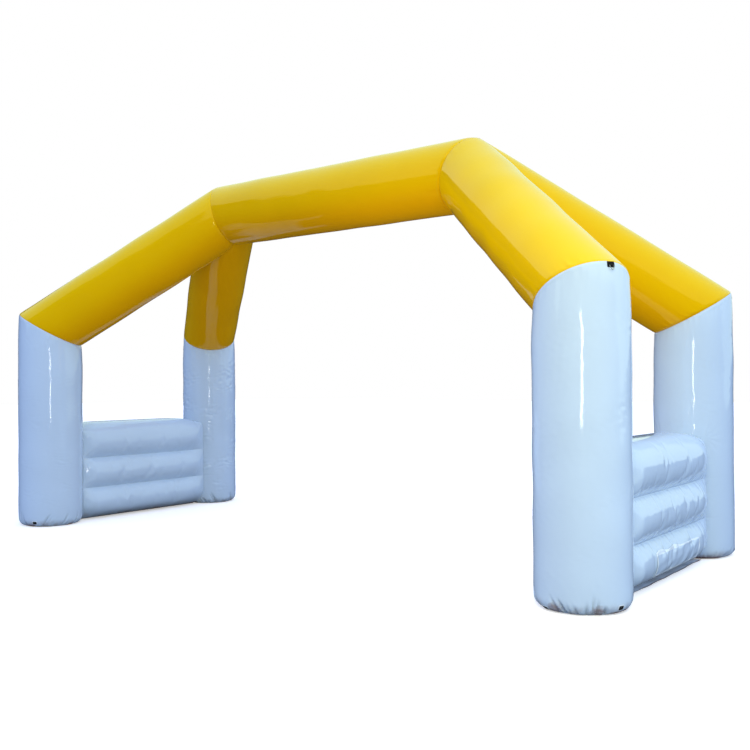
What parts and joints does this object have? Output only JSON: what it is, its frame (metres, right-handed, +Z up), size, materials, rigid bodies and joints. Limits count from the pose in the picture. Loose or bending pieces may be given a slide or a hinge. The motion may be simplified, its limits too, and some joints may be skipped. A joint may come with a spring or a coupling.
{
  "type": "inflatable arch",
  "caption": "Free-standing inflatable arch: upright legs and sloping rafters meet at a level ridge, with a low wall of stacked air chambers across each end.",
  "frame": {"origin": "on the ground, under the middle of the ridge", "axes": "+X along the ridge towards the end wall with the cover flap, +Y across the passage, +Z up"},
  "size_m": [7.28, 3.138, 3.872],
  "materials": {
    "white_pvc": "gloss coated cloth, cool white",
    "yellow_pvc": "gloss coated cloth, warm yellow",
    "black_webbing": "matt woven webbing",
    "ring_steel": "satin plated wire"
  },
  "bodies": {
    "root": {"leg_front_right": "white_pvc", "leg_front_left": "white_pvc", "leg_back_right": "white_pvc", "leg_back_left": "white_pvc", "rafter_front_right": "yellow_pvc", "rafter_front_left": "yellow_pvc", "rafter_back_right": "yellow_pvc", "rafter_back_left": "yellow_pvc", "ridge": "yellow_pvc", "wall_right": "white_pvc", "wall_left": "white_pvc", "wall_flap": "white_pvc", "ground_strip": "white_pvc", "guy_patch_front_right": "black_webbing", "guy_patch_front_left": "black_webbing", "guy_patch_back_right": "black_webbing", "guy_patch_back_left": "black_webbing", "guy_loop_front_right": "black_webbing", "guy_loop_front_left": "black_webbing", "guy_loop_back_right": "black_webbing", "guy_loop_back_left": "black_webbing", "guy_ring_front_right": "ring_steel", "guy_ring_front_left": "ring_steel", "guy_ring_back_right": "ring_steel", "guy_ring_back_left": "ring_steel", "stake_tab_outer_front_right": "black_webbing", "stake_tab_outer_front_left": "black_webbing", "stake_tab_outer_back_right": "black_webbing", "stake_tab_outer_back_left": "black_webbing", "stake_tab_inner_front_right": "black_webbing", "stake_tab_inner_front_left": "black_webbing", "stake_tab_inner_back_right": "black_webbing", "stake_tab_inner_back_left": "black_webbing"}
  },
  "joints": []
}
